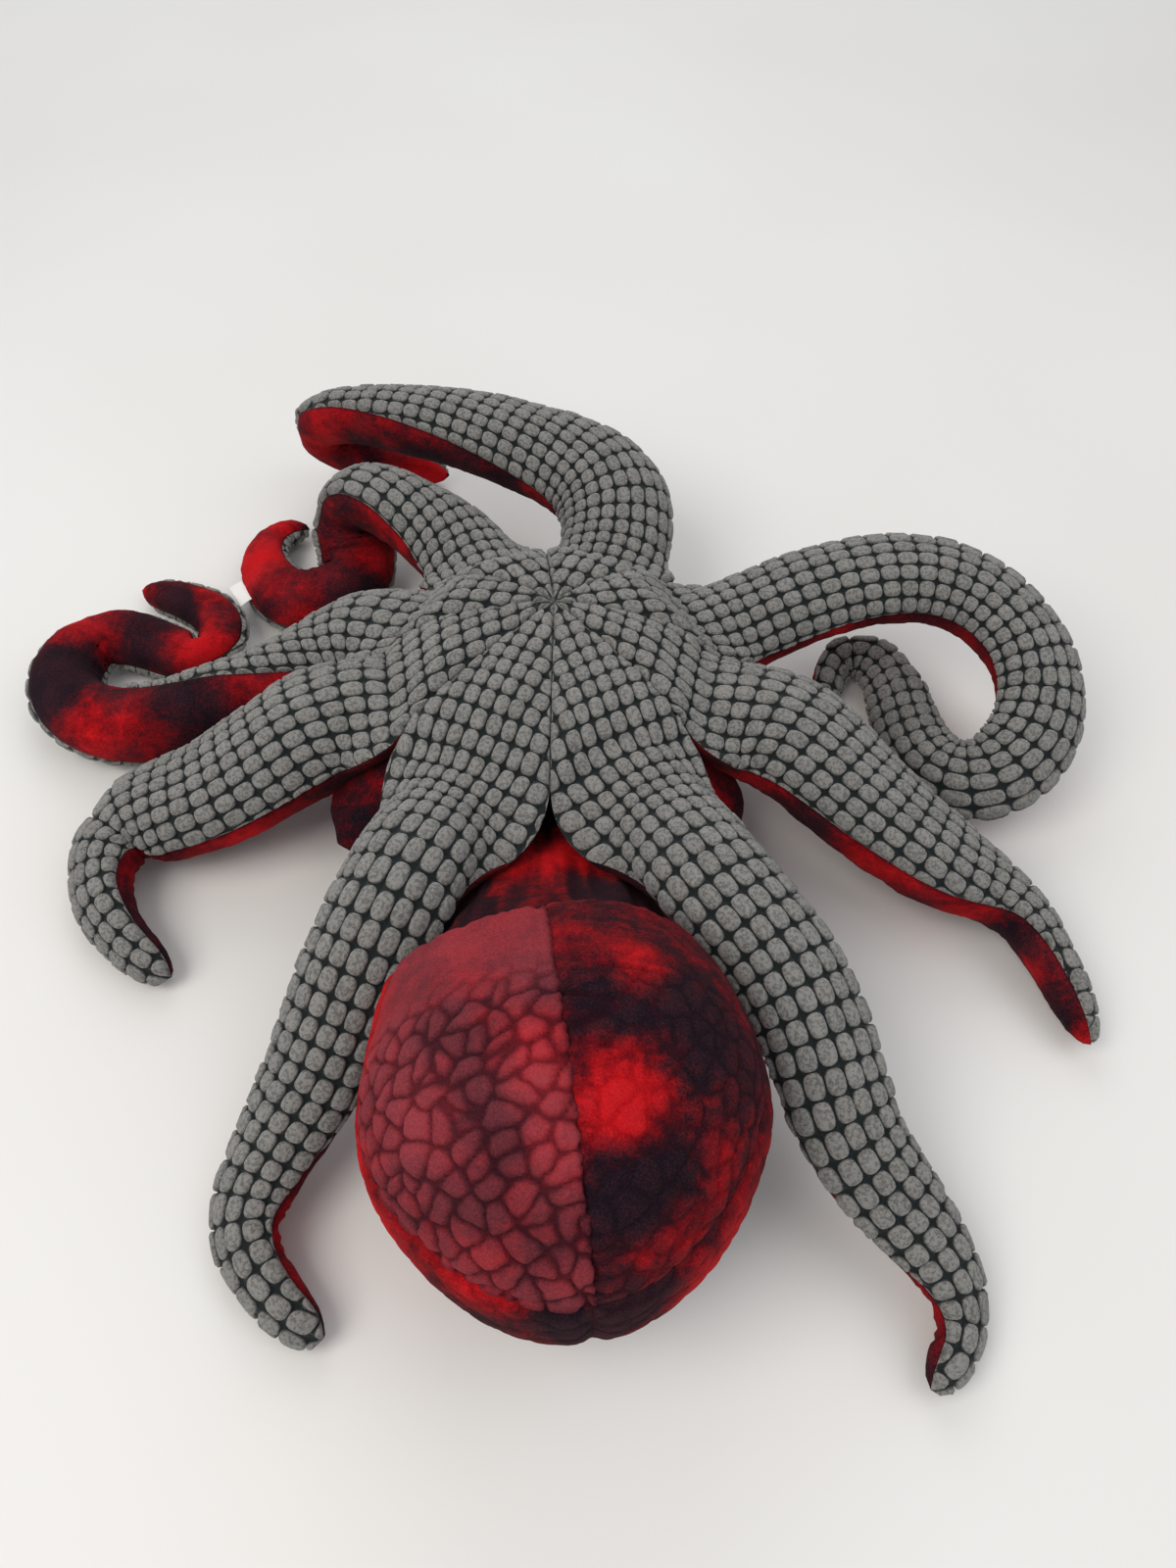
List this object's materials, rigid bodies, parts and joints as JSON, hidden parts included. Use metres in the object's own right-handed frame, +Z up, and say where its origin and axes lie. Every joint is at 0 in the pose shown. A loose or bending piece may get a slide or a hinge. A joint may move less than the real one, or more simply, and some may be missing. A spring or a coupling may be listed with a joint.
{
  "type": "stuffed octopus",
  "caption": "Large plush octopus laid on its back: soft tapering arms with grey sucker cloth facing up, tie-dyed red backs, and a round mantle lying in front.",
  "frame": {"origin": "middle of the bounding box's underside, on the floor", "axes": "+Z up with the octopus on its back, -Y towards the mantle's end and the viewer, +X to the viewer's right"},
  "size_m": [0.9052, 0.8978, 0.2351],
  "materials": {
    "sucker_cloth": "embossed pile",
    "back_cloth": "tie-dyed short pile",
    "filling": "loose fibre",
    "label": "satin ribbon"
  },
  "bodies": {
    "crown": {"crown_back_cover": "back_cloth", "crown_filling": "filling", "gore_front_left": "sucker_cloth", "gore_front_right": "sucker_cloth", "gore_right_front": "sucker_cloth", "gore_right_rear": "sucker_cloth", "gore_rear_right": "sucker_cloth", "gore_rear_left": "sucker_cloth", "gore_left_rear": "sucker_cloth", "gore_left_front": "sucker_cloth", "neck": "back_cloth"},
    "mantle": {"mantle_upper_left": "back_cloth", "mantle_upper_right": "back_cloth", "mantle_lower_left": "back_cloth", "mantle_lower_right": "back_cloth", "mantle_filling": "filling"},
    "front_left_arm": {"front_left_suckers": "sucker_cloth", "front_left_back": "back_cloth", "front_left_filling": "filling"},
    "front_right_arm": {"front_right_suckers": "sucker_cloth", "front_right_back": "back_cloth", "front_right_filling": "filling"},
    "right_front_arm": {"right_front_suckers": "sucker_cloth", "right_front_back": "back_cloth", "right_front_filling": "filling"},
    "right_rear_arm": {"right_rear_suckers": "sucker_cloth", "right_rear_back": "back_cloth", "right_rear_filling": "filling"},
    "rear_right_arm": {"rear_right_suckers": "sucker_cloth", "rear_right_back": "back_cloth", "rear_right_filling": "filling"},
    "rear_left_arm": {"rear_left_suckers": "sucker_cloth", "rear_left_back": "back_cloth", "rear_left_filling": "filling", "care_label": "label"},
    "left_rear_arm": {"left_rear_suckers": "sucker_cloth", "left_rear_back": "back_cloth", "left_rear_filling": "filling"},
    "left_front_arm": {"left_front_suckers": "sucker_cloth", "left_front_back": "back_cloth", "left_front_filling": "filling"}
  },
  "joints": [
    {"name": "front_left_lift", "type": "hinge", "parent": "crown", "child": "front_left_arm", "pos_m": [-0.05575, -0.09807, 0.106], "axis": [-0.8988, 0.4384, 0], "range_deg": [0, 40]},
    {"name": "front_right_lift", "type": "hinge", "parent": "crown", "child": "front_right_arm", "pos_m": [0.0957, -0.09278, 0.106], "axis": [-0.866, -0.5, 0], "range_deg": [0, 40]},
    {"name": "right_front_lift", "type": "hinge", "parent": "crown", "child": "right_front_arm", "pos_m": [0.17287, 0.01344, 0.1], "axis": [-0.2079, -0.9781, 0], "range_deg": [-15, 45]},
    {"name": "right_rear_lift", "type": "hinge", "parent": "crown", "child": "right_rear_arm", "pos_m": [0.16128, 0.11521, 0.094], "axis": [0.4226, -0.9063, 0], "range_deg": [-15, 45]},
    {"name": "rear_right_lift", "type": "hinge", "parent": "crown", "child": "rear_right_arm", "pos_m": [0.06755, 0.19961, 0.086], "axis": [0.9455, -0.3256, 0], "range_deg": [-15, 30]},
    {"name": "rear_left_lift", "type": "hinge", "parent": "crown", "child": "rear_left_arm", "pos_m": [-0.05065, 0.19445, 0.086], "axis": [0.9135, 0.4067, 0], "range_deg": [-15, 45]},
    {"name": "left_rear_lift", "type": "hinge", "parent": "crown", "child": "left_rear_arm", "pos_m": [-0.13128, 0.11521, 0.092], "axis": [0.4226, 0.9063, 0], "range_deg": [-15, 45]},
    {"name": "left_front_lift", "type": "hinge", "parent": "crown", "child": "left_front_arm", "pos_m": [-0.14395, 0.01897, 0.1], "axis": [-0.1736, 0.9848, 0], "range_deg": [-15, 45]},
    {"name": "neck_droop", "type": "hinge", "parent": "crown", "child": "mantle", "pos_m": [0.01816, -0.2114, 0.042], "axis": [0.9903, 0.1392, 0], "range_deg": [0, 20]}
  ]
}
